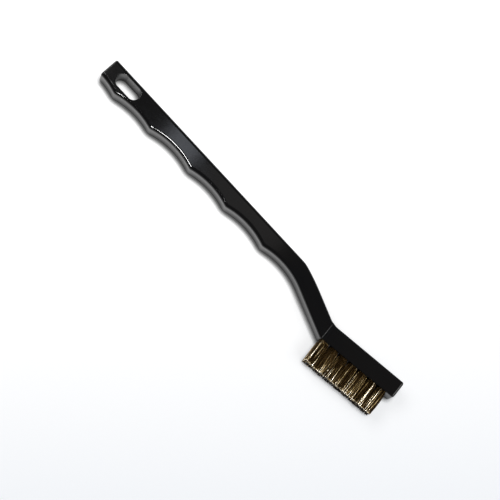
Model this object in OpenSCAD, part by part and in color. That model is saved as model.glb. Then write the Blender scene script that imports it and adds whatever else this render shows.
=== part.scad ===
// Small hand brush with brass wire tufts in a one-piece moulded plastic handle.
// It lies on its left side: X runs from tail to head, Y points to the back of the handle, Z is up.
// The origin is under the middle of the whole brush, on the surface that it lies on.

/* [Grip] */
// Length of the straight back edge, from the tail to the first bend
grip_len = 113.7; // [106:0.1:130]
// Width of the grip and of the head, from side to side
handle_w = 11; // [10.5:0.25:14]
// Rounding of the long edges of grip and neck
edge_r = 1.5; // [0.8:0.1:2.4]
// Rounding of the edges around the tail end face
tail_r = 0.6; // [0.2:0.1:1]
// Greatest height that the grip may reach, at the tail
blank_h = 11.6; // [11:0.2:14]

/* [Finger scallops] */
// Radius of each finger scallop in the front edge
scallop_r = 35; // [28:1:60]
// Distance from one scallop floor to the next
scallop_pitch = 21.7; // [18:0.1:25]
// Distance from the last scallop floor to the bend
scallop_lead = 5.4; // [4:0.1:10]
// How softly two scallops run into each other at the ridge between them
ridge_soft = 0.18; // [0.05:0.01:0.4]

/* [Hang slot] */
// Length of the hang slot along the handle
slot_len = 12.8; // [9:0.2:18]
// Width of the hang slot
slot_w = 6.1; // [4.5:0.1:6.6]
// Distance from the tail end to the middle of the slot
slot_x = 11.6; // [10:0.2:20]
// Plastic left between the slot and the back edge
slot_wall = 1.6; // [1.2:0.1:2.4]

/* [Neck] */
// Radius of the tight bend where the back leaves the straight grip
bend_r = 12; // [6:1:30]
// How far the tight bend turns, in degrees
bend_turn = 14; // [8:1:18]
// Radius of the long curve that follows the tight bend
sweep_r = 100; // [60:5:160]
// How far the long curve turns, in degrees
sweep_turn = 6.5; // [3:0.5:10]
// Straight length of the neck's back, up to the head's top corner
neck_len = 15.3; // [11:0.1:22]
// How much each side of the neck is drawn in where it meets the head
waist = 0.5; // [0:0.1:1]
// Rounding of the hollow corner between the neck's back and the head's back
crook_r = 8; // [4:0.5:12]

/* [Head] */
// Length of the head block beyond the top corner
head_len = 37.4; // [36:0.1:48]
// Thickness of the head block
head_t = 7.8; // [6.8:0.1:10]
// How far the head block reaches back over the neck
head_lead = 1; // [0.6:0.1:1.4]
// Angle of the head block to the grip, in degrees
head_angle = 7.6; // [2:0.2:12]
// Rounding of the head block's edges
head_r = 0.9; // [0.4:0.1:1.4]

/* [Wire tufts] */
// Wire tufts along the head
cols = 7; // [5:1:7]
// Distance from one tuft to the next along the head
tuft_pitch = 5.1; // [5.1:0.05:5.4]
// Distance between the three rows of tufts
row_gap = 3.3; // [3.3:0.05:3.6]
// Distance from the head's top corner to the first tuft
tuft_first = 1.3; // [0.8:0.1:2]
// Diameter of the hole that holds a tuft
hole_d = 2.8; // [2.4:0.05:2.85]
// Depth of the hole that holds a tuft
hole_depth = 5.2; // [4.6:0.1:5.8]
// Free length of the wires, from the face of the head to the tips
trim = 11.1; // [8:0.1:18]
// Most that a wire may fall short of the trimmed length
trim_short = 0.5; // [0:0.1:1]
// Thickness of one drawn strand, which stands for a few real wires
strand_d = 0.4; // [0.3:0.02:0.42]
// Half width of a tuft at its tips, along the head
tip_along = 2.2; // [1.4:0.05:2.25]
// Half width of a tuft at its tips, across the head
tip_across = 1.35; // [1.1:0.05:1.35]
// How far the first column of tufts leans forward at its tips
lean = 0.5; // [0:0.1:1.5]

/* [Anchors] */
// Thickness of the flat wire that an anchor is cut from
anchor_t = 0.4; // [0.3:0.05:0.5]
// Height of an anchor, along the hole
anchor_h = 1.8; // [1.4:0.1:2.2]
// Bite of an anchor into the plastic at each side of its hole
anchor_bite = 0.4; // [0.3:0.05:0.6]
// Thickness of the wire fold under an anchor
fold_t = 0.7; // [0.5:0.05:1]
// Clearance around the tufts' roots and the anchors
fit = 0.05; // [0.03:0.01:0.1]

/* [Hidden] */
rows = ["left", "middle", "right"];
// Handle height at each scallop floor, from the tail to the neck
floors = [9.45, 8.85, 7.5, 7.3, 7.0, 7.1];
last = len(floors) - 1;
half_w = handle_w / 2;
// A scallop counts as far as this many pitches from its floor
reach_pitches = 1.2;
// Run along the head in which its crease steps out from the neck
crease_run = 0.05;
// Smallest edge rounding that a section may come down to
least_r = 0.1;
// Flats around each rounded edge and end, and sections along each stretch
corner_steps = 4;
end_steps = 3;
crook_steps = 4;
grip_steps = 62;
neck_steps = 12;
slot_sides = 48;
hole_sides = 32;
// A turn of fewer degrees than this counts as straight
straight = 0.001;
// How far a cutting tool runs past the surface that it cuts
over = 1;

// Tufts are named by row and place, and so is the anchor inside each
TUFTS = [for (r = rows) for (c = [1:cols]) str("tuft_", r, "_", c)];
ANCHORS = [for (r = rows) for (c = [1:cols]) str("anchor_", r, "_", c)];

// Small vector helpers for the side view, which is drawn in X and Y
function heading(a) = [cos(a), sin(a)];
function cross2(p, q) = p[0] * q[1] - p[1] * q[0];
function ease(f) = f * f * (3 - 2 * f);
function leg_of(r, turn) = r * turn * PI / 180;

// Point reached after the length s along a chain of legs, each [length, turn], turning clockwise
function travel(legs, s, p, a, i = 0) =
    let (
        run = i == len(legs) - 1 ? s : min(s, legs[i][0]),
        turn = legs[i][1] * run / legs[i][0],
        chord = abs(turn) < straight ? run : run * sin(turn / 2) / (turn * PI / 360),
        q = p + chord * heading(a - turn / 2)
    )
    run >= s ? q : travel(legs, s - run, q, a - turn, i + 1);

// Where the line from p at angle a meets the line through q at angle b
function meet(p, a, q, b) =
    p + heading(a) * cross2(q - p, heading(b)) / cross2(heading(a), heading(b));

// Place of a scallop's floor along the grip, and the height it leaves at x
function floor_x(k) = grip_len - scallop_lead - (last - k) * scallop_pitch;
function left_by(k, x) =
    floors[k] + scallop_r - sqrt(pow(scallop_r, 2) - pow(x - floor_x(k), 2));
function total(v, i = 0) = i == len(v) ? 0 : v[i] + total(v, i + 1);

// Height of the grip at x: a soft minimum over the blank and the scallops within reach
function grip_h(x) =
    let (
        reach = scallop_pitch * reach_pitches,
        near = [for (k = [0:last]) if (abs(x - floor_x(k)) < reach) left_by(k, x)],
        heights = concat([blank_h], near)
    )
    -ridge_soft * ln(total([for (h = heights) exp(-h / ridge_soft)]));

// Back of the neck: the rest of the straight grip, two curves and a straight, up to the crook
neck_turn = bend_turn + sweep_turn;
crook_turn = neck_turn + head_angle;
crook_run = crook_r * tan(crook_turn / 2);
neck_start = floor_x(last);
back_legs = [
    [scallop_lead, 0],
    [leg_of(bend_r, bend_turn), bend_turn],
    [leg_of(sweep_r, sweep_turn), sweep_turn],
    [neck_len, 0]
];
back_len = total([for (l = back_legs) l[0]]);
head_corner = travel(back_legs, back_len, [neck_start, 0], 0);

// Front of the neck: the last scallop runs on as a curve, then straight to the head's underside
front_arc = leg_of(scallop_r, neck_turn);
front_legs = [[front_arc, neck_turn], [neck_len, 0]];
front_from = [neck_start, -grip_h(neck_start)];
front_turned = travel(front_legs, front_arc, front_from, 0);
under_corner = meet(
    front_turned, -neck_turn, head_corner - head_t * heading(90 + head_angle), head_angle
);
front_len = front_arc + norm(under_corner - front_turned);

// A point of the head block, from its top corner: t along the head, d down towards the tips
function head_point(t, d) = head_corner + t * heading(head_angle) - d * heading(90 + head_angle);
function crook_rise(t) = t < crook_run ? crook_r - sqrt(pow(crook_r, 2) - pow(crook_run - t, 2)) : 0;

// Sections of the handle, each [back point, front point, half width, edge radius]
function grip_section(x, inset = 0) = [
    [x, -inset],
    [x, inset - grip_h(x)],
    half_w - inset,
    edge_r - inset
];
function neck_section(f) = [
    travel(back_legs, f * (back_len - crook_run), [neck_start, 0], 0),
    travel(front_legs, f * front_len, front_from, 0),
    half_w - waist * ease(f),
    edge_r
];
function head_section(t, inset = 0, w = half_w) = [
    head_point(t, inset - crook_rise(t)),
    head_point(t, head_t - inset),
    w - inset,
    max(head_r - inset, least_r)
];

head_start = crease_run - head_lead;
sections = concat(
    [for (i = [0:end_steps]) let (a = 90 * i / end_steps)
        grip_section(tail_r * (1 - cos(a)), tail_r * (1 - sin(a)))],
    [for (i = [1:grip_steps]) grip_section(tail_r + (neck_start - tail_r) * i / grip_steps)],
    [for (i = [1:neck_steps]) neck_section(i / neck_steps)],
    [head_section(-head_lead, 0, half_w - waist)],
    [for (i = [0:end_steps]) let (a = 90 * i / end_steps)
        head_section(head_start + waist * (1 - cos(a)), 0, half_w - waist * (1 - sin(a)))],
    [for (i = [1:crook_steps])
        head_section(head_start + waist + (crook_run - head_start - waist) * i / crook_steps)],
    [for (i = [0:end_steps]) let (a = 90 * i / end_steps)
        head_section(head_len - head_r * (1 - sin(a)), head_r * (1 - cos(a)))]
);

// A rounded rectangle across the handle, from the back edge to the front edge
function ring(s) =
    let (
        down = (s[1] - s[0]) / norm(s[1] - s[0]),
        back = s[0] + down * s[3],
        front = s[1] - down * s[3],
        flat = s[2] - s[3]
    )
    [for (q = [0:3]) for (i = [0:corner_steps])
        let (
            a = 90 * (q + i / corner_steps),
            c = (q == 0 || q == 3) ? back : front,
            p = c - down * s[3] * cos(a),
            z = (q < 2 ? flat : -flat) + s[3] * sin(a)
        )
        [p[0], p[1], z]];

// Solid through a list of rings that all have the same number of points
module loft(rings) {
    n = len(rings[0]);
    m = len(rings);
    walls = [for (i = [0:m - 2]) for (j = [0:n - 1])
        let (a = i * n + j, b = i * n + (j + 1) % n)
        each [[a, b + n, b], [a, a + n, b + n]]];
    caps = [[for (j = [0:n - 1]) j], [for (j = [n - 1:-1:0]) (m - 1) * n + j]];
    polyhedron([for (r = rings) each r], concat(walls, caps));
}

// Whole brush: moved from the tail corner to the frame's origin
brush_x = head_point(head_len - head_r, head_t - head_r)[0] + head_r;
brush_y = head_point(tuft_first - tip_along + lean, head_t + trim)[1];
module in_frame() {
    translate([-brush_x / 2, -brush_y / 2, half_w]) children();
}

// Places a tuft's parts: X along the head, Z out of the hole towards the tips
module at_tuft(col, row) {
    place = head_point(tuft_first + col * tuft_pitch, head_t);
    translate([place[0], place[1], (row - 1) * row_gap])
        rotate([0, 0, head_angle])
            rotate([90, 0, 0])
                children();
}

anchor_l = hole_d + 2 * anchor_bite;
anchor_z = fold_t - hole_depth;
root_top = -2 * strand_d;

module hang_slot() {
    reach = (slot_len - slot_w) / 2;
    translate([slot_x, -slot_wall - slot_w / 2, -half_w - over])
        linear_extrude(handle_w + 2 * over)
            union() {
                for (side = [-1, 1]) translate([side * reach, 0]) circle(d = slot_w, $fn = slot_sides);
                square([2 * reach, slot_w], center = true);
            }
}

// Drilled hole with the kerf that its anchor cuts on the way in
module tuft_hole() {
    translate([0, 0, -hole_depth]) cylinder(d = hole_d, h = hole_depth + over, $fn = hole_sides);
    translate([-anchor_l / 2 - fit, -anchor_t / 2 - fit, anchor_z - fit])
        cube([anchor_l + 2 * fit, anchor_t + 2 * fit, over - anchor_z + fit]);
}

module handle() {
    color([0.1, 0.1, 0.11]) in_frame() difference() {
        loft([for (s = sections) ring(s)]);
        hang_slot();
        for (row = [0:2]) for (col = [0:cols - 1]) at_tuft(col, row) tuft_hole();
    }
}

// Strands of a tuft start on a hexagonal pattern of this many rings round the middle one
hex_rings = 2;
hex_places = [for (q = [-hex_rings:hex_rings]) for (r = [-hex_rings:hex_rings])
    if (abs(q + r) <= hex_rings) [q + r / 2, r * sqrt(3) / 2] / hex_rings];
// The outermost strands start this far inside the plug's rim
root_rim = 0.1;
root_half = hole_d / 2 - fit - strand_d / 2 - root_rim;
// Scatter of the tips, how late the strands open out, and their turn about themselves in degrees
jitter = 0.06;
bow = 1.4;
twist = 30;
// Each tuft has a run of random seeds of its own
seed_step = 100;

// One strand: rings of three points, opening out as it rises
strand_sides = 3;
strand_levels = 3;
function strand_ring(place, level, size, seed, shift) =
    let (
        f = level / strand_levels,
        spread = pow(f, bow),
        noise = rands(-1, 1, 3, seed),
        tip = [tip_along * place[0] + shift, tip_across * place[1]] + jitter * [noise[0], noise[1]],
        c = root_half * place * (1 - spread) + tip * spread,
        z = level == 0 ? root_top - strand_d : f * (trim - trim_short * (1 + noise[2]) / 2)
    )
    [for (k = [0:strand_sides - 1]) let (a = 360 * k / strand_sides + twist * noise[0])
        [c[0] + size / 2 * cos(a), c[1] + size / 2 * sin(a), z]];

module strands(seed, shift) {
    n = strand_sides;
    per = n * (strand_levels + 1);
    points = [for (i = [0:len(hex_places) - 1]) for (level = [0:strand_levels])
        each strand_ring(hex_places[i], level, strand_d, seed + i, shift)];
    faces = [for (i = [0:len(hex_places) - 1]) each concat(
        [[for (j = [0:n - 1]) i * per + j]],
        [for (l = [0:strand_levels - 1]) for (j = [0:n - 1])
            let (a = i * per + l * n + j, b = i * per + l * n + (j + 1) % n)
            each [[a, b + n, b], [a, a + n, b + n]]],
        [[for (j = [n - 1:-1:0]) i * per + strand_levels * n + j]]
    )];
    polyhedron(points, faces);
}

// Packed wires in the hole, folded round the anchor
module tuft_root() {
    difference() {
        translate([0, 0, fit - hole_depth])
            cylinder(d = hole_d - 2 * fit, h = hole_depth - fit + root_top, $fn = hole_sides);
        translate([-anchor_l / 2, -anchor_t / 2 - fit, anchor_z - fit])
            cube([anchor_l, anchor_t + 2 * fit, anchor_h + 2 * fit]);
    }
}

module tuft(col, row) {
    shift = lean * (1 - col / (cols - 1));
    color([0.62, 0.46, 0.2]) in_frame() at_tuft(col, row) {
        tuft_root();
        strands(seed_step * (row * cols + col), shift);
    }
}

module anchor(col, row) {
    color([0.8, 0.65, 0.35]) in_frame() at_tuft(col, row)
        translate([-anchor_l / 2, -anchor_t / 2, anchor_z])
            cube([anchor_l, anchor_t, anchor_h]);
}

handle();
for (row = [0:2]) for (col = [0:cols - 1]) {
    tuft(col, row);
    anchor(col, row);
}
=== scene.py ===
# %% [markdown]
# # A brass wire brush
# The object is a small scratch brush: a glossy black plastic handle, moulded in one piece, with
# three rows of seven brass wire tufts in its head. It lies on its left side on a pale floor.
# The CAD model comes first and fixes every size. Everything made here is fitted to it: X runs
# from the tail of the handle to its head, Y points away from the wires, and Z is up.

# %% Load the CAD model
import math
import random

import bmesh
import bpy
from mathutils import Matrix, Vector


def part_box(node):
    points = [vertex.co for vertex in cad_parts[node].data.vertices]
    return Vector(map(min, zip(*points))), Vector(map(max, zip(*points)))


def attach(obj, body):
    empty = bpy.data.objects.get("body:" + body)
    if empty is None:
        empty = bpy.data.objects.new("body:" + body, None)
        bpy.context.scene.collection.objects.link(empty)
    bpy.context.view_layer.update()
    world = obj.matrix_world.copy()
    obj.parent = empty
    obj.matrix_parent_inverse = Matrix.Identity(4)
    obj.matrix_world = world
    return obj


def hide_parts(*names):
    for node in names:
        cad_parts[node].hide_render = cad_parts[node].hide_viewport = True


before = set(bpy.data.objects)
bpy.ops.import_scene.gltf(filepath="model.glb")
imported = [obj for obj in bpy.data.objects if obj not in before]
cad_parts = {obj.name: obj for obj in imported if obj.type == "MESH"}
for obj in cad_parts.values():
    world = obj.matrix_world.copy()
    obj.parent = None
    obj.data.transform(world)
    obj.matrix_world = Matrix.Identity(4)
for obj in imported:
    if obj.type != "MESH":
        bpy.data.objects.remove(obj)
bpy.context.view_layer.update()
print("CAD nodes:", len(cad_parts))

# %% [markdown]
# ## Places on the brush
# The maker's drawing of the handle is a side view that starts at the tail, where its straight
# back edge begins. The same start is used here: a spot is given in millimetres along the back
# edge, away from it, and to one side of the middle plane, and is turned into metres in the scene.

# %% Spots in millimetres
MM = 0.001
TINY = 1e-6
handle_low, handle_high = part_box("handle")
half_w = (handle_high.z - handle_low.z) / 2 / MM
START = Vector((handle_low.x, handle_high.y, (handle_low.z + handle_high.z) / 2))


def heading(angle):
    """Direction in the side view, in degrees above the way from tail to head."""
    return Vector((math.cos(math.radians(angle)), math.sin(math.radians(angle)), 0))


def spot(point, side=0.0):
    """Place in the scene of a point of the side view, that many millimetres to one side."""
    return START + Vector((point.x, point.y, point.z + side)) * MM


print(f"handle: {(handle_high.x - handle_low.x) / MM:.1f} mm long, {2 * half_w:.1f} mm wide")

# %% [markdown]
# ## Tools for modelling
# Operators act on whatever is selected, so each step first deselects everything and then picks
# what it needs by its place. These helpers do that, do what several pieces need, and leave every
# finished object at the origin with its place in its mesh.

# %% Selecting and finishing
def only(obj):
    """Makes obj the one selected and active object."""
    bpy.ops.object.select_all(action="DESELECT")
    obj.select_set(True)
    bpy.context.view_layer.objects.active = obj


def pick(obj, kind, test):
    """In edit mode, selects the vertices, edges or faces that pass the test."""
    bpy.ops.mesh.select_mode(type=kind)
    bpy.ops.mesh.select_all(action="DESELECT")
    mesh = bmesh.from_edit_mesh(obj.data)
    parts = {"VERT": mesh.verts, "EDGE": mesh.edges, "FACE": mesh.faces}[kind]
    for part in parts:
        if test(part):
            part.select_set(True)
    mesh.select_flush_mode()
    bmesh.update_edit_mesh(obj.data)


def settle(obj, name):
    """Names the object and moves its place, turn and scale into its mesh."""
    only(obj)
    obj.name = obj.data.name = name
    bpy.ops.object.transform_apply(location=True, rotation=True, scale=True)
    return obj


def add_object(name, data):
    """A new object of the scene, with this data."""
    obj = bpy.data.objects.new(name, data)
    bpy.context.scene.collection.objects.link(obj)
    return obj


def extrude(step):
    """In edit mode, extrudes what is selected by a step in the scene's directions."""
    bpy.ops.mesh.extrude_region_move(TRANSFORM_OT_translate={"value": step})


def face_outwards():
    """Turns every face of the mesh in edit mode outwards, and leaves edit mode."""
    bpy.ops.mesh.select_all(action="SELECT")
    bpy.ops.mesh.normals_make_consistent(inside=False)
    bpy.ops.object.mode_set(mode="OBJECT")


def combine(obj, other, operation):
    """Adds the other object's shape to obj or takes it out, and removes the other object."""
    modifier = obj.modifiers.new("combine", "BOOLEAN")
    modifier.object = other
    modifier.operation = operation
    modifier.solver = "EXACT"
    only(obj)
    bpy.ops.object.modifier_apply(modifier=modifier.name)
    bpy.data.objects.remove(other)


# %% [markdown]
# ## The camera
# The camera comes before the pieces, because it decides how fine they have to be. The picture
# was taken from above with a long lens, a little from the side that the wires point to. The
# camera stands 0.8 m away, and the handle runs down to the right across the picture.

# %% Camera
CAMERA_PLACE = Vector((113.4, -193.63, 765.7))
LOOKS_AT_PLACE = Vector((95.1, -11.23, -5.5))
TURN_IN_PICTURE = 48.12
LENS, FILM_WIDTH = 136.8, 36
CLIP_START, CLIP_END = 0.01, 40


def place_camera():
    """A camera that looks at the brush as the photographer did."""
    camera = add_object("camera", bpy.data.cameras.new("camera"))
    camera.data.lens = LENS
    camera.data.sensor_width = FILM_WIDTH
    ahead = (LOOKS_AT_PLACE - CAMERA_PLACE).normalized()
    right = heading(TURN_IN_PICTURE)
    right = (right - ahead * right.dot(ahead)).normalized()
    axes = Matrix((right, right.cross(ahead), -ahead)).transposed()
    camera.matrix_world = Matrix.Translation(spot(CAMERA_PLACE)) @ axes.to_4x4()
    camera.data.clip_start = CLIP_START
    camera.data.clip_end = CLIP_END
    bpy.context.scene.camera = camera
    return camera


camera = place_camera()
print("camera at", [round(x, 3) for x in camera.location], "lens", camera.data.lens)

# %% [markdown]
# ## The outline of the handle
# A grip like this is drawn as a straight bar from which six round finger scallops are cut. Two
# neighbouring scallops meet in a ridge, and a mould never has a razor-sharp ridge, so the height
# of the grip is a soft minimum of all the scallops. The neck follows two arcs and a straight line
# on each edge, and the head is a straight block at an angle of its own.

# %% Height of the grip
GRIP_LEN = 113.7
BLANK_H = 11.6
SCALLOP_R = 35.0
SCALLOP_PITCH = 21.7
SCALLOP_LEAD = 5.4
SCALLOP_FLOORS = [9.45, 8.85, 7.5, 7.3, 7.0, 7.1]
RIDGE_SOFT = 0.18
REACH_PITCHES = 1.2
REACH = REACH_PITCHES * SCALLOP_PITCH


def grip_height(x):
    """Height of the grip at the distance x from the tail."""
    heights = [BLANK_H]
    for k, floor in enumerate(reversed(SCALLOP_FLOORS)):
        from_floor = x - (GRIP_LEN - SCALLOP_LEAD - k * SCALLOP_PITCH)
        if abs(from_floor) < REACH:
            heights.append(floor + SCALLOP_R - math.sqrt(SCALLOP_R**2 - from_floor**2))
    return -RIDGE_SOFT * math.log(sum(math.exp(-h / RIDGE_SOFT) for h in heights))


print("grip heights:", [round(grip_height(x), 1) for x in range(0, 110, 10)])

# %% [markdown]
# ## Edges of the neck and the head
# Each edge of the neck is a chain of legs, and each leg has a length and a turn. Walking along
# the chain gives any point of the edge. The head is measured from its top corner, along its back
# and down towards the tips of the wires.

# %% Walking along the edges
BEND_R, BEND_TURN = 12.0, 14.0
SWEEP_R, SWEEP_TURN = 100.0, 6.5
NECK_LEN = 15.3
CROOK_R = 8.0
HEAD_ANGLE = 7.6
HEAD_LEN, HEAD_T = 37.4, 7.8


def arc(radius, turn):
    """A leg that turns by so many degrees on that radius."""
    return radius * math.radians(turn), turn


def walk(legs, run, point, angle=0.0):
    """The point reached after a run along a chain of legs that turn towards the wires."""
    for number, (length, turn) in enumerate(legs):
        part = run if number == len(legs) - 1 else min(run, length)
        part_turn = turn * part / length
        half_turn = math.radians(part_turn / 2)
        chord = part * math.sin(half_turn) / half_turn if turn else part
        point = point + heading(angle - part_turn / 2) * chord
        run, angle = run - part, angle - part_turn
        if run <= 0:
            break
    return point


neck_start = GRIP_LEN - SCALLOP_LEAD
neck_turn = BEND_TURN + SWEEP_TURN
back_start = Vector((neck_start, 0, 0))
back_legs = [(SCALLOP_LEAD, 0), arc(BEND_R, BEND_TURN), arc(SWEEP_R, SWEEP_TURN), (NECK_LEN, 0)]
back_len = sum(leg[0] for leg in back_legs)
head_corner = walk(back_legs, back_len, back_start)
crook_run = CROOK_R * math.tan(math.radians((neck_turn + HEAD_ANGLE) / 2))


def head_point(along, down):
    """A point of the head: along its back from the top corner, then down towards the tips."""
    return head_corner + heading(HEAD_ANGLE) * along - heading(90 + HEAD_ANGLE) * down


def crook_rise(along):
    """How far the soft hollow between neck and head lifts the back of the head."""
    if along >= crook_run:
        return 0.0
    return CROOK_R - math.sqrt(CROOK_R**2 - (crook_run - along) ** 2)


front_start = Vector((neck_start, -grip_height(neck_start), 0))
front_legs = [arc(SCALLOP_R, neck_turn), (NECK_LEN, 0)]
front_turned = walk(front_legs, front_legs[0][0], front_start)
gap = head_point(0, HEAD_T) - front_turned
neck_way, head_way = heading(-neck_turn), heading(HEAD_ANGLE)
front_len = front_legs[0][0] + gap.cross(head_way).z / neck_way.cross(head_way).z
print(f"neck: back edge {back_len:.1f} mm, front edge {front_len:.1f} mm")

# %% [markdown]
# ## Sections of the handle
# The handle is made as a caulker squeezes a bead: one rounded section is pushed along the whole
# handle and changes its size on the way. Each section says where its back and front points are
# and how far it reaches to each side.

# %% List of sections
WAIST = 0.5
HEAD_LEAD = 1.0
CREASE_RUN = 0.05
STEP_R = 0.15
EDGE_R, HEAD_R, TAIL_R = 1.5, 0.9, 0.6
GRIP_STEP = 0.6
NECK_STEPS = 40
CROOK_STEPS = 8
END_STEPS = 5


def ease(share):
    """A share from 0 to 1 that starts and ends gently."""
    return share * share * (3 - 2 * share)


def grip_section(x):
    """Back point, front point and half width at the distance x from the tail."""
    return Vector((x, 0, 0)), Vector((x, -grip_height(x), 0)), half_w


def neck_section(share):
    """The same for a share of the way along both edges of the neck."""
    back = walk(back_legs, share * (back_len - crook_run), back_start)
    front = walk(front_legs, share * front_len, front_start)
    return back, front, half_w - WAIST * ease(share)


def head_section(along, inset=0.0, half=half_w):
    """The same for a place along the head, drawn in all round by the inset."""
    back = head_point(along, inset - crook_rise(along))
    return back, head_point(along, HEAD_T - inset), half - inset


def quarter(steps):
    """Sine and missing cosine at even steps of a quarter turn."""
    for i in range(steps + 1):
        angle = math.radians(90 * i / steps)
        yield math.sin(angle), 1 - math.cos(angle)


grip_count = int((neck_start - 2 * TAIL_R) / GRIP_STEP)
grip_pace = (neck_start - 2 * TAIL_R) / grip_count
sections = [grip_section(0)]
sections += [grip_section(2 * TAIL_R + grip_pace * i) for i in range(grip_count + 1)]
sections += [neck_section(i / NECK_STEPS) for i in range(1, NECK_STEPS + 1)]
crease = len(sections)
head_start = CREASE_RUN - HEAD_LEAD
sections += [head_section(-HEAD_LEAD, 0, half_w - WAIST)]
sections += [
    head_section(head_start + STEP_R * fall, 0, half_w - STEP_R * (1 - rise))
    for rise, fall in quarter(END_STEPS)
]
crook_pace = (crook_run - head_start - STEP_R) / CROOK_STEPS
sections += [head_section(head_start + STEP_R + crook_pace * i) for i in range(1, CROOK_STEPS + 1)]
sections += [
    head_section(HEAD_LEN - HEAD_R * (1 - rise), HEAD_R * fall)
    for rise, fall in quarter(END_STEPS)
]
print("sections along the handle:", len(sections))

# %% [markdown]
# ## The first section
# A plane stands across the tail and its four corners are bevelled into arcs. That rounded
# rectangle is the only outline that has to be drawn.

# %% Start the handle
CORNER_STEPS = 6


def start_handle(section):
    """A rounded rectangle across the tail, left in edit mode."""
    back, front, half = section
    height = (back - front).length
    bpy.ops.mesh.primitive_plane_add(
        size=MM, enter_editmode=True,
        location=spot((back + front) / 2), rotation=(0, math.pi / 2, 0),
    )
    obj = bpy.context.object
    bpy.ops.transform.resize(value=(1, height, 2 * half), center_override=obj.location)
    bpy.ops.mesh.bevel(offset=EDGE_R * MM, segments=CORNER_STEPS, affect="VERTICES")
    return obj


bpy.ops.object.select_all(action="DESELECT")
handle = start_handle(sections[0])
print("corners rounded:", len(bmesh.from_edit_mesh(handle.data).verts), "points in the section")

# %% [markdown]
# ## Pushing the section along
# Extrude makes the next ring, and a few moves give it its size. Only the front half of the ring
# follows the scallops, so the arcs at its corners stay round. This is why the height is never
# changed by scaling.

# %% Extrude from section to section
def pick_points(obj, numbers):
    """In edit mode, selects the points with these numbers."""
    bpy.ops.mesh.select_all(action="DESELECT")
    mesh = bmesh.from_edit_mesh(obj.data)
    mesh.verts.ensure_lookup_table()
    for number in numbers:
        mesh.verts[number].select_set(True)
    mesh.select_flush_mode()
    bmesh.update_edit_mesh(obj.data)


def picked_points(obj, test=lambda co: True):
    """Numbers of the selected points whose place in the scene passes the test."""
    mesh = bmesh.from_edit_mesh(obj.data)
    return [v.index for v in mesh.verts if v.select and test(obj.matrix_world @ v.co)]


def push_on(obj, old, new):
    """Extrudes the end of the handle and gives it the next section's place and size."""
    old_back, old_front, old_half = old
    back, front, half = new
    old_height, height = old_front - old_back, front - back
    extrude((back - old_back) * MM)
    turn = math.atan2(old_height.cross(height).z, old_height.dot(height))
    if abs(turn) > TINY:
        bpy.ops.transform.rotate(value=-turn, orient_axis="Z", center_override=spot(back))
    if abs(half - old_half) > TINY:
        bpy.ops.transform.resize(value=(1, 1, half / old_half), center_override=spot(back))
    growth = height.length - old_height.length
    if abs(growth) > TINY:
        way = height.normalized()
        middle = spot(back + way * old_height.length / 2)
        ring = picked_points(obj)
        pick_points(obj, picked_points(obj, lambda place: (place - middle).dot(way) > 0))
        bpy.ops.transform.translate(value=way * growth * MM)
        pick_points(obj, ring)


def tighten_corners(obj, section, ratio):
    """Scales the four arcs of the end ring towards their sharp corners."""
    back, front, half = section
    ring = picked_points(obj)
    middle = spot((back + front) / 2)
    for point in (back, front):
        for side in (-1, 1):
            reach = spot(point) - middle
            pick_points(obj, ring)
            near = picked_points(
                obj, lambda p: (p - middle).dot(reach) > 0 and (p - middle).z * side > 0
            )
            pick_points(obj, near)
            corner = spot(point, side * half)
            bpy.ops.transform.resize(value=(ratio, ratio, ratio), center_override=corner)
    pick_points(obj, ring)


for number in range(1, len(sections)):
    push_on(handle, sections[number - 1], sections[number])
    if number == crease:
        tighten_corners(handle, sections[number], HEAD_R / EDGE_R)
print("points in the handle:", len(bmesh.from_edit_mesh(handle.data).verts))

# %% [markdown]
# ## Closing the handle
# The face at the tail gets a small rounding by bevelling its rim. Then the many strips of each
# flat side of the grip become one face, as flat as the mould's, into which the slot can be cut
# cleanly, and all normals are turned outwards.

# %% Round the tail and merge the flat sides
TAIL_STEPS = 4
TAIL_ZONE = 0.1

tail_end = handle_low.x + TAIL_ZONE * MM
pick(handle, "FACE", lambda f: all((handle.matrix_world @ v.co).x < tail_end for v in f.verts))
bpy.ops.mesh.bevel(offset=TAIL_R * MM, segments=TAIL_STEPS, affect="EDGES")
bpy.ops.object.mode_set(mode="OBJECT")
settle(handle, "moulded_handle")
bpy.ops.object.mode_set(mode="EDIT")
grip_end = spot(sections[1 + grip_count][0]).x
for level in (handle_low.z, handle_high.z):
    pick(
        handle,
        "FACE",
        lambda f: all(abs(v.co.z - level) < TINY and v.co.x < grip_end + TINY for v in f.verts),
    )
    bpy.ops.mesh.dissolve_faces()
face_outwards()
print("faces in the handle:", len(handle.data.polygons))

# %% [markdown]
# ## The hang slot
# The slot is a hole with round ends, and its rims are rounded as a mould's edges are. Only a
# narrow strip of flat plastic lies beside it, too narrow for a bevel, so the cutter has the
# rounding instead: a circle is extruded up through the handle, flares out at both rims, and one
# half of it is pulled along the handle. A boolean takes this shape out of the handle.

# %% Cut the hang slot
SLOT_LEN, SLOT_W = 12.8, 6.1
SLOT_X, SLOT_WALL = 11.6, 1.6
SLOT_SIDES = 64
RIM_R = 0.2
RIM_STEPS = 4
CUT_PAST = 1.0


def slot_levels():
    """Height and radius of each ring of the cutter, from below the handle to above it."""
    rim = []
    for rise, fall in quarter(RIM_STEPS):
        rim.append((half_w - RIM_R * fall, SLOT_W / 2 + RIM_R * (1 - rise)))
    upper = rim[::-1] + [(half_w + CUT_PAST, SLOT_W / 2 + RIM_R)]
    return [(-height, radius) for height, radius in reversed(upper)] + upper


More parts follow.
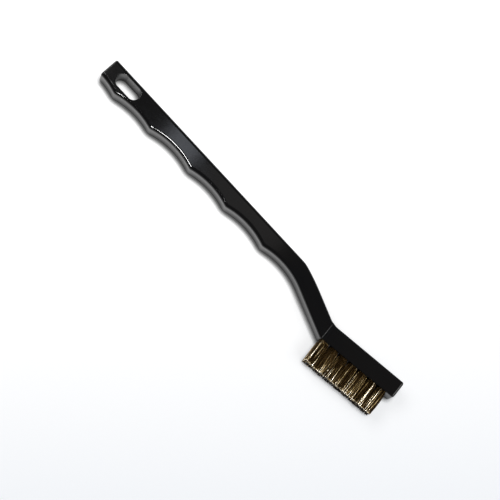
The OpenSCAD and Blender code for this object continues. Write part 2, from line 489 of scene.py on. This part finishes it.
def slot_cutter(levels):
    """The round cutter, stretched along the handle."""
    reach = (SLOT_LEN - SLOT_W) / 2
    middle = Vector((SLOT_X, -SLOT_WALL - SLOT_W / 2, 0))
    start = spot(middle - Vector((reach, 0, 0)), levels[0][0])
    bpy.ops.mesh.primitive_circle_add(
        vertices=SLOT_SIDES, radius=levels[0][1] * MM, fill_type="NGON",
        location=start, rotation=(0, 0, math.pi / SLOT_SIDES), enter_editmode=True,
    )
    cutter = bpy.context.object
    for (low, old), (high, new) in zip(levels, levels[1:]):
        extrude((0, 0, (high - low) * MM))
        if abs(new - old) > TINY:
            bpy.ops.transform.resize(value=(new / old, new / old, 1), center_override=start)
    pick(cutter, "VERT", lambda v: (cutter.matrix_world @ v.co).x > start.x)
    bpy.ops.transform.translate(value=(2 * reach * MM, 0, 0))
    face_outwards()
    return settle(cutter, "slot_cutter")


bpy.ops.object.select_all(action="DESELECT")
combine(handle, slot_cutter(slot_levels()), "DIFFERENCE")
print("faces in the handle with its slot:", len(handle.data.polygons))

# %% [markdown]
# ## Holes for the tufts
# Each tuft sits in a drilled hole. A flat piece of wire, the anchor, is driven in with it and
# cuts a narrow kerf at each side of the hole. One cutter has the shape of the hole with its kerf,
# and a copy of it stands at each of the 21 places.

# %% Drill the head
ROWS = ["left", "middle", "right"]
MIDDLE_ROW = len(ROWS) // 2
COLS = 7
TUFT_PITCH, ROW_GAP, TUFT_FIRST = 5.1, 3.3, 1.3
HOLE_D, HOLE_DEPTH = 2.8, 5.2
ANCHOR_T, ANCHOR_BITE, FOLD_T = 0.4, 0.4, 0.7
FIT = 0.05
HOLE_SIDES = 32


def at_tuft(col, row):
    """Frame of a tuft: X along the head, Y across it, Z out of the hole."""
    x_axis, z_axis = heading(HEAD_ANGLE), -heading(90 + HEAD_ANGLE)
    y_axis = z_axis.cross(x_axis)
    axes = Matrix((x_axis, y_axis, z_axis)).transposed().to_4x4()
    mouth = head_point(TUFT_FIRST + col * TUFT_PITCH, HEAD_T)
    return Matrix.Translation(spot(mouth, (row - MIDDLE_ROW) * ROW_GAP)) @ axes


def hole_cutter():
    """The shape of one hole with its kerf, standing at the origin."""
    bpy.ops.mesh.primitive_cylinder_add(
        vertices=HOLE_SIDES, radius=HOLE_D / 2 * MM, depth=(HOLE_DEPTH + CUT_PAST) * MM,
        location=(0, 0, (CUT_PAST - HOLE_DEPTH) / 2 * MM),
    )
    hole = settle(bpy.context.object, "hole")
    low = FOLD_T - HOLE_DEPTH - FIT
    bpy.ops.mesh.primitive_cube_add(size=MM, location=(0, 0, (low + CUT_PAST) / 2 * MM))
    kerf = bpy.context.object
    kerf.scale = (HOLE_D + 2 * ANCHOR_BITE + 2 * FIT, ANCHOR_T + 2 * FIT, CUT_PAST - low)
    combine(hole, settle(kerf, "kerf"), "UNION")
    return hole


def copy_of(obj, place, name):
    """A copy with a mesh of its own, moved to its place."""
    twin = add_object(name, obj.data.copy())
    twin.data.transform(place)
    return twin


def join(pieces, name):
    """Joins the objects into the first one."""
    bpy.ops.object.select_all(action="DESELECT")
    for piece in pieces:
        piece.select_set(True)
    bpy.context.view_layer.objects.active = pieces[0]
    bpy.ops.object.join()
    pieces[0].name = pieces[0].data.name = name
    return pieces[0]


bpy.ops.object.select_all(action="DESELECT")
one_hole = hole_cutter()
drills = [
    copy_of(one_hole, at_tuft(col, row), "drill")
    for row in range(len(ROWS))
    for col in range(COLS)
]
bpy.data.objects.remove(one_hole)
combine(handle, join(drills, "drills"), "DIFFERENCE")
print("holes drilled:", len(ROWS) * COLS, "faces in the handle:", len(handle.data.polygons))

# %% [markdown]
# ## Smooth shading
# The handle has round edges beside flat sides. Smooth shading alone would bend the light on the
# flats, so a Weighted Normal modifier lets the large faces decide.

# %% Shade the handle
HANDLE_SMOOTH = 35

only(handle)
bpy.ops.object.shade_smooth_by_angle(angle=math.radians(HANDLE_SMOOTH))
weighted = handle.modifiers.new("flat sides", "WEIGHTED_NORMAL")
weighted.keep_sharp = True
bpy.ops.object.modifier_apply(modifier=weighted.name)
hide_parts("handle")
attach(handle, "root")
print("handle shaded:", handle.name)

# %% [markdown]
# ## One wire
# A tuft is a bunch of straight wires, folded in the middle over the anchor and pushed into the
# hole with it. Strands of hair or a texture would look like wires too, but they would have no
# fold. So one folded wire is modelled: a small circle is extruded down one leg, spun half a turn
# under the anchor, and extruded up the other leg. Five sides are enough for something this thin.

# %% Model a folded wire
TRIM, TRIM_SHORT = 11.1, 0.5
WIRE_D = 0.26
WIRE_SIDES = 5
WIRE_SMOOTH = 80
MERGE_DISTANCE = 0.001
LEG_SHARES = [1, 0.7, 0.42, 0.2, 0.06, 0]
BEND_LEVELS = 4


def folded_wire(half_gap):
    """A wire whose legs stand that far to each side of the anchor's middle."""
    bottom = FOLD_T + FIT - HOLE_DEPTH
    bpy.ops.mesh.primitive_circle_add(
        vertices=WIRE_SIDES, radius=WIRE_D / 2 * MM, fill_type="NGON",
        location=(0, -half_gap * MM, TRIM * MM), enter_editmode=True,
    )
    wire = bpy.context.object
    steps = [(above - below) * TRIM * MM for above, below in zip(LEG_SHARES, LEG_SHARES[1:])]
    for step in steps:
        extrude((0, 0, -step))
    extrude((0, 0, bottom * MM))
    bpy.ops.mesh.spin(
        steps=BEND_LEVELS, angle=-math.pi, center=(0, 0, bottom * MM), axis=(1, 0, 0),
        use_normal_flip=False,
    )
    extrude((0, 0, -bottom * MM))
    for step in reversed(steps):
        extrude((0, 0, step))
    bpy.ops.mesh.select_all(action="SELECT")
    bpy.ops.mesh.remove_doubles(threshold=MERGE_DISTANCE * MM)
    face_outwards()
    bpy.ops.object.shade_smooth_by_angle(angle=math.radians(WIRE_SMOOTH))
    return settle(wire, "wire")


# %% [markdown]
# ## Where the wires stand
# In the hole the wires are packed side by side, like pencils in a cup. The anchor takes the
# middle, so only the two halves beside it hold wires, and each wire has one leg in each half.

# %% Places in a hole
WIRE_PITCH = 0.275
ROW_OF_WIRES = WIRE_PITCH * math.sin(math.radians(60))
ROOT_R = HOLE_D / 2 - WIRE_D / 2 - FIT
FIRST_ACROSS = ANCHOR_T / 2 + WIRE_D / 2


def places_in_hole():
    """Where the wires of one half of a hole stand: along the head, and across it."""
    found = []
    across = FIRST_ACROSS
    while across < ROOT_R:
        count = int(2 * math.sqrt(ROOT_R**2 - across**2) / WIRE_PITCH)
        found += [((i - count / 2) * WIRE_PITCH, across) for i in range(count + 1)]
        across += ROW_OF_WIRES
    return found


hole_places = places_in_hole()
depths = sorted({round(across, 4) for _, across in hole_places})
bpy.ops.object.select_all(action="DESELECT")
masters = {depth: folded_wire(depth) for depth in depths}
one_wire = masters[depths[0]]
print("wires in a hole:", len(hole_places), "faces in one wire:", len(one_wire.data.polygons))

# %% [markdown]
# ## Fanning out
# Outside the hole nothing holds the wires together, so the round bunch opens into a block that
# touches its neighbours. The wires part most just above the hole, a few stray from the rest, and
# none is cut to exactly the same length. Each copy of the folded wire has its rings moved to
# follow this. Two attributes go with it for its material: a shade of its own, which also carries
# painted light and shade, and the height above the head. The wires on top of the field get
# lighter shades, painted light, and stand slightly proud of the rest. The deeper a wire stands,
# the darker it is, with painted shade.

# %% Spread the wires of a tuft
TIP_ALONG, TIP_ACROSS = 2.55, 1.45
INNERMOST = 0.8 * FIRST_ACROSS
LEAST_ACROSS = 0.02
OVERLAP = 0.3
FLARE = 0.08
LEAN = 0.5
SCATTER_ALONG, SCATTER_ACROSS = 0.12, 0.06
STRAY_SHARE, STRAY = 0.06, 3.0
BOW = 0.1
SHORT_LEAST = 0.15
TOP_RAGGED = 0.4
# Powers of a chance from 0 to 1: above 1 most results are small, below 1 most are large.
FEW_SHORT, FEW_LIGHT, MANY_BRIGHT = 2, 1.5, 0.5
# Top wires get painted light, and deep wires get painted shade.
TOP_PAINTED_LIGHT, DEEP_PAINTED_SHADE = 0.36, -0.5
GLINT_WIDTH = 0.16
# Shades of the wires that get a painted highlight along the left edge of the first tuft.
EDGE_HIGHLIGHT_SHADES = (0.3, 0.9)
TIP_RING = 0.99
random.seed(7)


def tip_of(along, across):
    """Where the tip of a wire would stand, from the wire's place in the hole."""
    a = along / ROOT_R
    b = (across - INNERMOST) / (ROOT_R - INNERMOST)
    outward = math.hypot(a, b) / max(abs(a), abs(b))
    return TIP_ALONG * a * outward, TIP_ACROSS * b * outward


def scattered_leg(along, across, way, on_top, proud):
    """Tip, bow and missing length of one leg of a wire."""
    x, y = tip_of(along, across)
    scatter = STRAY if random.random() < STRAY_SHARE else 1
    x += random.gauss(0, SCATTER_ALONG) * scatter
    y += random.gauss(0, SCATTER_ACROSS) * scatter
    x = max(-TIP_ALONG - OVERLAP, min(TIP_ALONG + OVERLAP, x))
    y = max(LEAST_ACROSS, min(TIP_ACROSS, y)) * way
    bow = random.gauss(0, BOW)
    ragged = TOP_RAGGED if on_top else 1.0
    short = SHORT_LEAST - proud + TRIM_SHORT * ragged * random.random() ** FEW_SHORT
    return x, y, bow, short


def shade_of(x, glints, painted_glint, on_top, on_edge, depth):
    """One leg's shade: painted shade deep in the field, painted light on top and at a glint."""
    if on_top:
        shade = TOP_PAINTED_LIGHT * random.random() ** FEW_LIGHT
        # Top wires near a glint place get a painted glint.
        if min(abs(x - glint) for glint in glints) < GLINT_WIDTH:
            shade += painted_glint * random.random() ** MANY_BRIGHT
    else:
        shade = DEEP_PAINTED_SHADE * depth * random.random()
    # Painted highlight along the left edge of the first tuft.
    if on_edge:
        shade = random.uniform(*EDGE_HIGHLIGHT_SHADES)
    return shade


def spread_wire(data, along, across, legs, lean):
    """Moves the rings of both legs of a wire out to their tips, and trims them."""
    shades = data.attributes.new("shade", "FLOAT", "POINT")
    heights = data.attributes.new("height", "FLOAT", "POINT")
    for v in data.vertices:
        way = 1 if v.co.y > 0 else -1
        x, y, bow, short, shade, end = legs[way]
        share = max(v.co.z / MM / TRIM, 0.0)
        out = share**FLARE
        v.co.x += (along + (x - along) * out + lean * share + bow * math.sin(math.pi * share)) * MM
        v.co.y += (y - way * across) * out * MM
        v.co.z -= share * short * MM
        shades.data[v.index].value = shade
        heights.data[v.index].value = end if share > TIP_RING else share


# %% [markdown]
# ## The tufts
# All 21 tufts come from the same folded wires, each with chances of its own, so that no two are
# alike. Every tuft has a few places where a bundle of its top wires gets a painted glint, a
# lighter shade, and these painted glints grow brighter towards the end of the head. A height
# above 1 marks the cut ends of the wires high in the field, which get a painted highlight. The
# wires of a tuft are joined into one object and moved into their hole.

# %% Make the tufts
# Each tuft gets a few painted glints on its top wires, brighter towards the end of the head.
GLINTS = 2
GLINT_NECK, GLINT_END = 0.3, 0.85
GLINT_INSET = 0.1
TOP_LAYER, SIDE_LAYER = 0.55, 0.95
TOP_ROW = len(ROWS) - 1
TOP_PROUD = 0.4
EDGE_SHARE = 0.6
# Painted highlight at the cut ends of wires high in the field, fading out deeper down.
PAINTED_TIP_RISE, PAINTED_TIP_DEPTH, PAINTED_TIP_FADE = 0.1, 0.6, 0.15
FIELD_DEPTH = TOP_ROW * ROW_GAP + 2 * TIP_ACROSS


def depth_of(row, across):
    """How deep a wire stands in the field: 0 on top of it and 1 at the floor."""
    return ((TOP_ROW - row) * ROW_GAP + TIP_ACROSS - across) / FIELD_DEPTH


def legs_of(col, row, along, across, glints, painted_glint):
    """Both legs of one wire: tip, bow, missing length, shade, and height at the cut end."""
    legs = {}
    for way in (-1, 1):
        outside = across > TOP_LAYER or abs(along) > SIDE_LAYER
        on_top = row == TOP_ROW and way == 1 and outside
        on_edge = col == 0 and along < -SIDE_LAYER and random.random() < EDGE_SHARE
        proud = TOP_PROUD if on_top and (col > 0 or along > 0) else 0
        depth = depth_of(row, way * across)
        leg = scattered_leg(along, across, way, on_top, proud)
        shade = shade_of(leg[0], glints, painted_glint, on_top, on_edge, depth)
        # A height above 1 at the cut end asks for a painted highlight there.
        end = 1 + PAINTED_TIP_RISE * max(0, min(1, (PAINTED_TIP_DEPTH - depth) / PAINTED_TIP_FADE))
        legs[way] = (*leg, shade, end)
    return legs


def make_tuft(col, row):
    """All wires of one tuft, fanned out from its hole."""
    from_neck = col / (COLS - 1)
    lean = LEAN * (1 - from_neck)
    # The painted glints grow brighter towards the end of the head.
    painted_glint = GLINT_NECK + (GLINT_END - GLINT_NECK) * from_neck
    glints = [random.uniform(-TIP_ALONG, TIP_ALONG) for _ in range(GLINTS)]
    glints.append(TIP_ALONG - GLINT_INSET)
    wires = []
    for along, across in hole_places:
        data = masters[round(across, 4)].data.copy()
        spread_wire(data, along, across, legs_of(col, row, along, across, glints, painted_glint), lean)
        wires.append(add_object("wire", data))
    tuft = join(wires, f"wires_{ROWS[row]}_{col + 1}")
    tuft.data.transform(at_tuft(col, row))
    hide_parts(f"tuft_{ROWS[row]}_{col + 1}")
    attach(tuft, "root")
    return tuft


tufts = [make_tuft(col, row) for row in range(len(ROWS)) for col in range(COLS)]
for master in masters.values():
    bpy.data.objects.remove(master)
print("tufts:", len(tufts), "faces in each:", len(tufts[0].data.polygons))

# %% [markdown]
# ## Tools for finishes
# A finish is worked out once, in a node group, and each material uses the group and sets its own
# numbers. The groups put out only what varies over a surface, and the shader stays outside them.

# %% Materials and node groups
def new_material(name):
    """A material, its nodes, its links and its shader."""
    material = bpy.data.materials.new(name)
    material.use_nodes = True
    tree = material.node_tree
    return material, tree.nodes, tree.links, tree.nodes["Principled BSDF"]


def new_group(name, inputs, outputs):
    """An empty node group with named sockets, its nodes, its links, and its two ends."""
    group = bpy.data.node_groups.new(name, "ShaderNodeTree")
    for way, sockets in (("INPUT", inputs), ("OUTPUT", outputs)):
        for socket, kind in sockets.items():
            group.interface.new_socket(socket, in_out=way, socket_type="NodeSocket" + kind)
    start = group.nodes.new("NodeGroupInput")
    end = group.nodes.new("NodeGroupOutput")
    return group, group.nodes, group.links, start, end


def feed(links, socket, value):
    """Sets a socket to a number, or links another node's socket to it."""
    if isinstance(value, (int, float)):
        socket.default_value = value
    else:
        links.new(value, socket)


def math_node(nodes, links, operation, *values):
    """A Math node whose inputs are numbers or other nodes' sockets."""
    node = nodes.new("ShaderNodeMath")
    node.operation = operation
    for socket, value in zip(node.inputs, values):
        feed(links, socket, value)
    return node.outputs[0]


def noise_at(nodes, links, vector, scale, detail=2.0):
    """A noise whose size differs along X, Y and Z, in repeats a metre."""
    mapping = nodes.new("ShaderNodeMapping")
    mapping.inputs["Scale"].default_value = scale
    links.new(vector, mapping.inputs["Vector"])
    noise = nodes.new("ShaderNodeTexNoise")
    noise.inputs["Scale"].default_value = 1
    noise.inputs["Detail"].default_value = detail
    links.new(mapping.outputs["Vector"], noise.inputs["Vector"])
    return noise.outputs["Fac"]


def stretch(nodes, links, value, ends, results=(0, 1), kind="LINEAR"):
    """Maps a value from one range to another, and holds it there."""
    node = nodes.new("ShaderNodeMapRange")
    node.interpolation_type = kind
    sockets = ("From Min", "From Max", "To Min", "To Max")
    for name, number in zip(sockets, (*ends, *results)):
        node.inputs[name].default_value = number
    links.new(value, node.inputs["Value"])
    return node.outputs["Result"]


def tone_of(nodes, links, value, tones):
    """Turns a value into a colour, by a ramp of positions and colours."""
    ramp = nodes.new("ShaderNodeValToRGB")
    for position, _ in tones[1:-1]:
        ramp.color_ramp.elements.new(position)
    for element, (position, color) in zip(ramp.color_ramp.elements, tones):
        element.position = position
        element.color = color
    links.new(value, ramp.inputs["Fac"])
    return ramp.outputs["Color"]


def dress(obj, material):
    """Gives the whole object one material."""
    obj.data.materials.clear()
    obj.data.materials.append(material)


print("tools for finishes ready")

# %% [markdown]
# ## Black moulded plastic
# The handle is injection moulded and glossy. Up close such a skin is never perfect: it has a very
# shallow orange peel from the mould, faint lines along the grip from handling, and a tone that
# drifts a little. A group works out all three from noises on the object's own coordinates.

# %% Plastic surface
TONE_DRIFT = (26, 60, 60)
PLASTIC_TONES = [
    (0.35, (0.0026, 0.0026, 0.0029, 1)),
    (0.65, (0.0046, 0.0041, 0.0037, 1)),
]
HANDLING_LINES, LINE_DETAIL = (120, 2600, 2600), 3
HANDLED_PATCHES, PATCH_ENDS = (90, 140, 140), (0.4, 0.7)
ORANGE_PEEL, PEEL_DETAIL = (700, 700, 700), 1


def plastic_surface():
    """Tone, roughness and normal of a moulded surface."""
    group, nodes, links, start, end = new_group(
        "moulded_surface",
        {"Vector": "Vector", "Peel Depth": "Float", "Least Roughness": "Float", "Scuffs": "Float"},
        {"Color": "Color", "Roughness": "Float", "Normal": "Vector"},
    )
    place = start.outputs["Vector"]
    drift = noise_at(nodes, links, place, TONE_DRIFT)
    links.new(tone_of(nodes, links, drift, PLASTIC_TONES), end.inputs["Color"])
    lines = noise_at(nodes, links, place, HANDLING_LINES, LINE_DETAIL)
    patches = noise_at(nodes, links, place, HANDLED_PATCHES)
    handled = stretch(nodes, links, patches, PATCH_ENDS)
    rubbed = math_node(nodes, links, "MULTIPLY", lines, handled)
    scuffed = math_node(nodes, links, "MULTIPLY", rubbed, start.outputs["Scuffs"])
    rough = math_node(nodes, links, "ADD", scuffed, start.outputs["Least Roughness"])
    links.new(rough, end.inputs["Roughness"])
    peel = noise_at(nodes, links, place, ORANGE_PEEL, PEEL_DETAIL)
    bump = nodes.new("ShaderNodeBump")
    bump.inputs["Strength"].default_value = 1
    links.new(start.outputs["Peel Depth"], bump.inputs["Distance"])
    links.new(peel, bump.inputs["Height"])
    links.new(bump.outputs["Normal"], end.inputs["Normal"])
    return group


# %% Black plastic
PEEL_DEPTH = 2e-6
LEAST_ROUGHNESS = 0.07
SCUFFS = 0.05


def black_plastic():
    """Glossy black plastic for the handle."""
    material, nodes, links, shader = new_material("black_plastic")
    surface = nodes.new("ShaderNodeGroup")
    surface.node_tree = plastic_surface()
    surface.inputs["Peel Depth"].default_value = PEEL_DEPTH
    surface.inputs["Least Roughness"].default_value = LEAST_ROUGHNESS
    surface.inputs["Scuffs"].default_value = SCUFFS
    place = nodes.new("ShaderNodeTexCoord")
    links.new(place.outputs["Object"], surface.inputs["Vector"])
    links.new(surface.outputs["Color"], shader.inputs["Base Color"])
    links.new(surface.outputs["Roughness"], shader.inputs["Roughness"])
    links.new(surface.outputs["Normal"], shader.inputs["Normal"])
    return material


dress(handle, black_plastic())
print("plastic on:", handle.name)

# %% [markdown]
# ## Brass wire
# Brass wire darkens in use, so the wires run from brown to gold. On top of that the deep wires
# get painted shade, and only the wires with painted glints shine. A single brass colour would
# make the tufts one yellow block. The group mixes each wire's own shade, painted light and shade
# included, with streaks that run along the wires, paints shade on the roots, where no light gets
# in, and paints a highlight on the cut tips.

# %% Wire finish
STREAKS, STREAK_ENDS = (1100, 65, 1000), (0.51, 0.67)
SHADE_WEIGHT, STREAK_WEIGHT = 0.9, 0.9
# Painted shade at the roots, growing lighter towards the tips.
HEIGHT_ENDS, HEIGHT_PAINTED_LIGHT = (0, 0.9), (0.55, 1.1)
# Brightness of the painted highlight at the cut ends.
PAINTED_TIP_LIGHT = 0.7
TONE_ENDS, WIRE_ROUGHNESS = (0.2, 0.9), (0.42, 0.22)
BRASS_TONES = [
    (0.0, (0.022, 0.012, 0.004, 1)),
    (0.3, (0.060, 0.036, 0.013, 1)),
    (0.55, (0.26, 0.18, 0.075, 1)),
    (0.78, (0.80, 0.66, 0.42, 1)),
    (1.0, (1.0, 0.94, 0.80, 1)),
]


def wire_finish():
    """Colour and roughness of a drawn wire."""
    group, nodes, links, start, end = new_group(
        "drawn_wire",
        {"Vector": "Vector", "Shade": "Float", "Height": "Float"},
        {"Color": "Color", "Roughness": "Float"},
    )
    turned = nodes.new("ShaderNodeMapping")
    turned.inputs["Rotation"].default_value = (0, 0, -math.radians(HEAD_ANGLE))
    links.new(start.outputs["Vector"], turned.inputs["Vector"])
    streaks = noise_at(nodes, links, turned.outputs["Vector"], STREAKS)
    own = math_node(nodes, links, "MULTIPLY", start.outputs["Shade"], SHADE_WEIGHT)
    streaky = stretch(nodes, links, streaks, STREAK_ENDS, (0, STREAK_WEIGHT))
    mixed = math_node(nodes, links, "ADD", own, streaky)
    height = start.outputs["Height"]
    # Painted shade at the roots, lighter towards the tips.
    painted_height_light = stretch(nodes, links, height, HEIGHT_ENDS, HEIGHT_PAINTED_LIGHT)
    toned = math_node(nodes, links, "MULTIPLY", mixed, painted_height_light)
    # Painted highlight at the cut ends, where the height is above 1.
    painted_tip = stretch(nodes, links, height, (1 + PAINTED_TIP_RISE / 2, 1 + PAINTED_TIP_RISE), (0, PAINTED_TIP_LIGHT))
    total = math_node(nodes, links, "ADD", toned, painted_tip)
    links.new(tone_of(nodes, links, total, BRASS_TONES), end.inputs["Color"])
    rough = stretch(nodes, links, total, TONE_ENDS, WIRE_ROUGHNESS)
    links.new(rough, end.inputs["Roughness"])
    return group


# %% Brass
def brass(name, finish):
    """Brass whose shade and height come from each wire's own attributes."""
    material, nodes, links, shader = new_material(name)
    surface = nodes.new("ShaderNodeGroup")
    surface.node_tree = finish
    place = nodes.new("ShaderNodeTexCoord")
    links.new(place.outputs["Object"], surface.inputs["Vector"])
    for socket in ("Shade", "Height"):
        attribute = nodes.new("ShaderNodeAttribute")
        attribute.attribute_name = socket.lower()
        links.new(attribute.outputs["Fac"], surface.inputs[socket])
    links.new(surface.outputs["Color"], shader.inputs["Base Color"])
    links.new(surface.outputs["Roughness"], shader.inputs["Roughness"])
    shader.inputs["Metallic"].default_value = 1
    return material


wire_brass = brass("brass_wire", wire_finish())
for tuft in tufts:
    dress(tuft, wire_brass)
print("brass on:", len(tufts), "tufts")

# %% [markdown]
# ## The anchors
# An anchor is cut from flat wire and stays bright in its hole. The anchors are CAD nodes of the
# right shape, so they only get a material: plain brass with the fine lines that rolling leaves.

# %% Anchor finish
ROLLED_LINES = (300, 9000, 9000)
ROLLED_TONES = [(0, (0.55, 0.38, 0.15, 1)), (1, (0.80, 0.62, 0.32, 1))]
ROLLED_ENDS, ROLLED_ROUGHNESS = (0.3, 0.7), (0.22, 0.38)


def flat_brass():
    """Bright rolled brass."""
    material, nodes, links, shader = new_material("flat_brass")
    place = nodes.new("ShaderNodeTexCoord")
    lines = noise_at(nodes, links, place.outputs["Object"], ROLLED_LINES, LINE_DETAIL)
    links.new(tone_of(nodes, links, lines, ROLLED_TONES), shader.inputs["Base Color"])
    rough = stretch(nodes, links, lines, ROLLED_ENDS, ROLLED_ROUGHNESS)
    links.new(rough, shader.inputs["Roughness"])
    shader.inputs["Metallic"].default_value = 1
    return material


anchor_brass = flat_brass()
anchors = [node for name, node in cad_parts.items() if name.startswith("anchor")]
for anchor in anchors:
    dress(anchor, anchor_brass)
print("flat brass on:", len(anchors), "anchors")

# %% [markdown]
# ## The floor
# The brush lies on a plain white sweep, with a hint of blue-grey towards the front. Lighting the
# floor until it clips would also flood the brush, so it is lit like any white card, and only what
# the camera and reflections see is lifted to white. Its shadows stay. The narrow dark line where
# the brush touches the card is painted shade in the card's colour and glow: it is worked out from
# how much of the sky a spot of the card sees, leaned to be deeper on the side the wires point
# to, and the glossy front of the grip mirrors it.

# %% White floor
CAMERA_LIFT = 0.9
GLOSS_LIFT = 0.45
CARD_WHITE = 0.54
CONTACT_REACH = 2.4
CONTACT_ENDS, CONTACT_DARK = (0.35, 0.95), 0.1
# Leans the painted contact shade so that it is deeper on the side the wires point to.
CONTACT_LEAN = (0, 0.5, 0.87)
TINT_REACH = 0.11
TINTS = [(0, (1, 1, 1, 1)), (0.22, (0.82, 0.82, 0.82, 1)), (1, (0.70, 0.717, 0.74, 1))]
CARD_ROUGHNESS = 0.7


def painted_contact_shade(nodes, links):
    """Painted shade: 1 on the open floor, falling where something stands on it."""
    near = nodes.new("ShaderNodeAmbientOcclusion")
    near.inputs["Distance"].default_value = CONTACT_REACH * MM
    lean = nodes.new("ShaderNodeCombineXYZ")
    for axis, part in zip("XYZ", CONTACT_LEAN):
        lean.inputs[axis].default_value = part
    links.new(lean.outputs["Vector"], near.inputs["Normal"])
    return stretch(nodes, links, near.outputs["AO"], CONTACT_ENDS, (CONTACT_DARK, 1))


def floor_tint(nodes, links):
    """White, fading to pale blue-grey towards the front of the picture."""
    place = nodes.new("ShaderNodeTexCoord")
    turned = nodes.new("ShaderNodeMapping")
    turned.inputs["Rotation"].default_value = (0, 0, math.radians(90 - TURN_IN_PICTURE))
    links.new(place.outputs["Object"], turned.inputs["Vector"])
    axes = nodes.new("ShaderNodeSeparateXYZ")
    links.new(turned.outputs["Vector"], axes.inputs["Vector"])
    forward = stretch(nodes, links, axes.outputs["X"], (0, TINT_REACH))
    return tone_of(nodes, links, forward, TINTS)


def scaled(nodes, links, color, factor):
    """A colour times a number or a socket."""
    node = nodes.new("ShaderNodeVectorMath")
    node.operation = "SCALE"
    links.new(color, node.inputs[0])
    feed(links, node.inputs["Scale"], factor)
    return node.outputs["Vector"]


def white_floor():
    """White card whose contact shadows stay and whose open part is lifted to white."""
    material, nodes, links, shader = new_material("white_floor")
    # The card's colour and its glow both carry the painted contact shade.
    color = scaled(nodes, links, floor_tint(nodes, links), painted_contact_shade(nodes, links))
    links.new(scaled(nodes, links, color, CARD_WHITE), shader.inputs["Base Color"])
    links.new(color, shader.inputs["Emission Color"])
    shader.inputs["Roughness"].default_value = CARD_ROUGHNESS
    shader.inputs["Specular IOR Level"].default_value = 0
    rays = nodes.new("ShaderNodeLightPath")
    seen = math_node(nodes, links, "MULTIPLY", rays.outputs["Is Camera Ray"], CAMERA_LIFT)
    through, off = rays.outputs["Is Transmission Ray"], rays.outputs["Is Glossy Ray"]
    mirrored = math_node(nodes, links, "ADD", off, through)
    mirrored = math_node(nodes, links, "MULTIPLY", mirrored, GLOSS_LIFT)
    links.new(math_node(nodes, links, "ADD", seen, mirrored), shader.inputs["Emission Strength"])
    return material


# %% Lay the floor
FLOOR_SIZE, FLOOR_DROP = 12, 0.01

bpy.ops.object.select_all(action="DESELECT")
bpy.ops.mesh.primitive_plane_add(size=FLOOR_SIZE, location=(0, 0, -FLOOR_DROP * MM))
floor = bpy.context.object
floor.name = "floor"
dress(floor, white_floor())
print("floor:", floor.name)

# %% [markdown]
# ## The light
# Two soft boxes stand at the ends of the brush. Their light runs along the handle, so it leaves
# only a narrow shadow beside it, and neither of them is mirrored in its flat side. Overhead it is
# nearly dark, which keeps the plastic black. Two dim windows give the soft sheen in the middle of
# the grip. A small lamp close to the grip draws a thin white line along one scallop, and another
# makes the wires glint. Both only show in glossy surfaces, so they cast no shadow on the floor.

# %% Lamps
def soft_box(name, place, target, size, radiance, color=(1, 1, 1)):
    """A rectangular lamp at a spot of the side view. Radiance 1 looks as bright as white paper."""
    data = bpy.data.lights.new(name, "AREA")
    data.shape = "RECTANGLE"
    data.size, data.size_y = size
    data.energy = radiance * math.pi * size[0] * size[1]
    data.color = color
    lamp = add_object(name, data)
    lamp.location = spot(Vector(place))
    aim = spot(Vector(target)) - lamp.location
    lamp.rotation_euler = aim.to_track_quat("-Z", "Y").to_euler()
    return lamp


END_BOX = {"target": (90, -5, 0), "size": (0.8, 0.55), "radiance": 4.0}
soft_box("tail box", (-560, -5, 1000), **END_BOX)
soft_box("head box", (740, -5, 1000), **END_BOX)
soft_box(
    "window", (-8, 140.7, 585), target=(-8, -4, 5.5), size=(0.028, 0.07), radiance=2.1,
    color=(0.85, 0.9, 1),
)
soft_box(
    "broad window", (54, 145, 585), target=(54, -4, 5.5), size=(0.08, 0.12), radiance=0.28,
    color=(1, 0.97, 0.94),
)
edge_lamp = soft_box(
    "edge lamp", (31.8, -61, 105), target=(31.8, -7, 5.5), size=(0.0264, 0.018), radiance=75
)
wire_lamp = soft_box(
    "wire lamp", (-110, 70, 500), target=(150, -20, 5.5), size=(0.06, 0.06), radiance=34
)
for lamp in (edge_lamp, wire_lamp):
    lamp.visible_diffuse = False
    lamp.visible_camera = False


# %% World
SKY_TONES = [(0, (0.08, 0.08, 0.085, 1)), (1, (0.11, 0.11, 0.117, 1))]
SKY_ENDS = (0.2, 1)


def dim_world():
    """A dim world, a little darker towards the horizon."""
    world = bpy.data.worlds.new("world")
    world.use_nodes = True
    nodes, links = world.node_tree.nodes, world.node_tree.links
    place = nodes.new("ShaderNodeTexCoord")
    axes = nodes.new("ShaderNodeSeparateXYZ")
    links.new(place.outputs["Generated"], axes.inputs["Vector"])
    overhead = stretch(nodes, links, axes.outputs["Z"], SKY_ENDS, kind="SMOOTHSTEP")
    sky = tone_of(nodes, links, overhead, SKY_TONES)
    links.new(sky, nodes["Background"].inputs["Color"])
    return world


bpy.context.scene.world = dim_world()
bpy.context.scene.view_settings.view_transform = "Standard"
